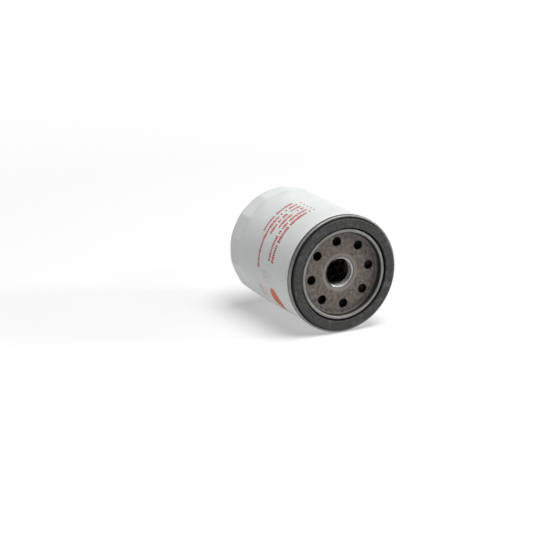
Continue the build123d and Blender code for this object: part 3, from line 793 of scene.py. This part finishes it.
MATERIALS = {
    "can_enamel": enamel(),
    "lid_steel": lid_steel(),
    "plate_steel": plate_steel(),
    "gasket_rubber": gasket_rubber(),
    "filter_paper": paper(),
    "valve_rubber": plain_finish("valve_rubber", (0.005, 0.005, 0.0055), (0.014, 0.014, 0.0145), 6.0,
                                 (0.5, 0.72), 0.4, 0.02),
    "sealant": plain_finish("seam_sealant", (0.42, 0.32, 0.18), (0.62, 0.5, 0.33), 2.0, (0.4, 0.6),
                            0.5, 0.04),
    "cap_steel": plain_finish("pressed_sheet", (0.40, 0.40, 0.385), (0.58, 0.575, 0.56), 7.0, (0.28, 0.45),
                              0.5, 0.01, metallic=0.85, stain=(0.34, 0.33, 0.31)),
    "potting": plain_finish("potting_adhesive", (0.2, 0.2, 0.19), (0.36, 0.36, 0.34), 5.0, (0.45, 0.62),
                            0.8, 0.03),
    "tube_steel": plain_finish("perforated_sheet", (0.34, 0.31, 0.27), (0.56, 0.52, 0.46), 4.0, (0.35, 0.5),
                               0.5, 0.015, metallic=0.4, stain=(0.3, 0.22, 0.15)),
    "spring_steel": plain_finish("spring_wire", (0.2, 0.2, 0.21), (0.36, 0.36, 0.37), 3.0, (0.25, 0.4),
                                 0.4, 0.008, metallic=0.9, stain=(0.22, 0.19, 0.16)),
}
NODE_SLOTS = {row["node"]: row["material_slot"] for row in frame["record"]["subparts"]}


def dress_cad_nodes():
    """Gives each carried-over CAD node the material of its slot."""
    for name, cad in frame["nodes"].items():
        cad.data.materials.clear()
        cad.data.materials.append(MATERIALS[NODE_SLOTS[name]])
        for polygon in cad.data.polygons:
            polygon.material_index = 0


def piece(name, parts, node, body="filter"):
    slot = NODE_SLOTS[node]
    parts = parts if isinstance(parts, list) else [parts]
    return make_piece(name, parts, body, MATERIALS[slot], [node])


def build_pieces():
    piece("can_shell", build_can(), "can")
    piece("seam_lid", build_lid(), "seaming_lid")
    piece("gasket_ring", build_gasket(), "gasket")
    piece("threaded_plate", build_plate(), "tapping_plate")
    piece("valve_hub", lathe(rubber_outline(HUB, 0.35), INNER_SEGMENTS), "drainback_valve_hub")
    skirt = piece("valve_skirt", lathe(rubber_outline(SKIRT, 0.25), INNER_SEGMENTS), "drainback_valve_lip",
                  body=None)
    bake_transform(skirt)
    piece("pleated_paper", build_paper(), "pleated_media")
    piece("open_potting", lathe(washer(POTTING_R, OPEN_POTTING_Y, 0.4), INNER_SEGMENTS), "open_end_potting")
    piece("closed_potting", lathe(washer(POTTING_R, CLOSED_POTTING_Y, 0.4), INNER_SEGMENTS),
          "closed_end_potting")
    piece("valve_seal", lathe(washer(SEAL_R, SEAL_Y, 0.25), SEAL_SEGMENTS), "bypass_seal",
          body="bypass_valve")
    coil = piece("valve_coil", build_coil(), "bypass_spring")
    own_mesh(coil)


# ---------------------------------------------------------------- floor, light and camera

AZIMUTH = math.radians(-28.27)
ELEVATION = math.radians(16.93)
ROLL = math.radians(-0.35)
CAMERA_DISTANCE = 2.6
LENS = 281.6
ORIGIN_RIGHT = 0.0458        # where the filter's origin sits in the view, from its middle
ORIGIN_DOWN = 0.0040
FLOOR_SIZE = 40
GLOW = (0.36, 1.0)           # the floor's own light near the object and far from it
GLOW_R = (400.0, 2400.0)     # distances of the two, in millimetres
AMBIENT = 0.08
LIGHTS = [                   # name, place and size in metres, power in watts
    ("top", (0.4, -0.7, 3.2), (2.6, 1.8), 148),
    ("front", (2.0, -1.1, 0.8), (0.35, 0.35), 22),
    ("glint", (0.9, -1.4, 1.1), (0.3, 0.3), 4),
]


def view_axes():
    a, e = AZIMUTH, ELEVATION
    right = Vector((math.cos(a), math.sin(a), 0))
    up = Vector((-math.sin(a) * math.sin(e), math.cos(a) * math.sin(e), math.cos(e)))
    back = Vector((math.sin(a) * math.cos(e), -math.cos(a) * math.cos(e), math.sin(e)))
    return right, up, back


def add_camera():
    right, up, back = view_axes()
    data = bpy.data.cameras.new("camera")
    data.lens = LENS
    data.sensor_width = 36.0
    data.clip_start, data.clip_end = 0.1, 50.0
    camera = bpy.data.objects.new("camera", data)
    bpy.context.scene.collection.objects.link(camera)
    camera.location = -right * ORIGIN_RIGHT + up * ORIGIN_DOWN + back * CAMERA_DISTANCE
    camera.rotation_mode = "QUATERNION"
    camera.rotation_quaternion = (-back).to_track_quat("-Z", "Y") @ Quaternion((0, 0, 1), ROLL)
    bpy.context.scene.camera = camera


def add_floor(z):
    """A plain floor, kept evenly pale away from the object's shadow."""
    bpy.ops.mesh.primitive_plane_add(size=FLOOR_SIZE, location=(0, 0, z))
    floor = bpy.context.object
    floor.name = "floor"
    s = Shader("floor_white")
    away = s.length(s.x, s.y)
    glow = s.node("ShaderNodeMapRange", {0: away, 1: GLOW_R[0], 2: GLOW_R[1], 3: GLOW[0], 4: GLOW[1]})
    s.tree.links.new(glow.outputs[0], s.surface.inputs["Emission Strength"])
    for key, value in (("Base Color", (0.48, 0.48, 0.48, 1)), ("Roughness", 0.9),
                       ("Specular IOR Level", 0.1), ("Emission Color", (1, 1, 1, 1))):
        s.surface.inputs[key].default_value = value
    floor.data.materials.append(s.material)


def add_light(name, place, size, power):
    data = bpy.data.lights.new(name, "AREA")
    data.shape = "RECTANGLE"
    data.size, data.size_y = size
    data.energy = power
    light = bpy.data.objects.new(name, data)
    bpy.context.scene.collection.objects.link(light)
    light.location = place
    light.rotation_mode = "QUATERNION"
    light.rotation_quaternion = (-Vector(place)).to_track_quat("-Z", "Y")


def add_light_setup():
    """Soft light from above, two small lights in front and a faint white surrounding."""
    world = bpy.data.worlds.new("studio")
    bpy.context.scene.world = world
    world.use_nodes = True
    background = world.node_tree.nodes["Background"]
    background.inputs["Color"].default_value = (1, 1, 1, 1)
    background.inputs["Strength"].default_value = AMBIENT
    for name, place, size, power in LIGHTS:
        add_light(name, place, size, power)
    bpy.context.scene.view_settings.view_transform = "Standard"
    bpy.context.scene.view_settings.exposure = 0.0


dress_cad_nodes()
build_pieces()
add_floor(cad_box[0].z)
add_light_setup()
add_camera()
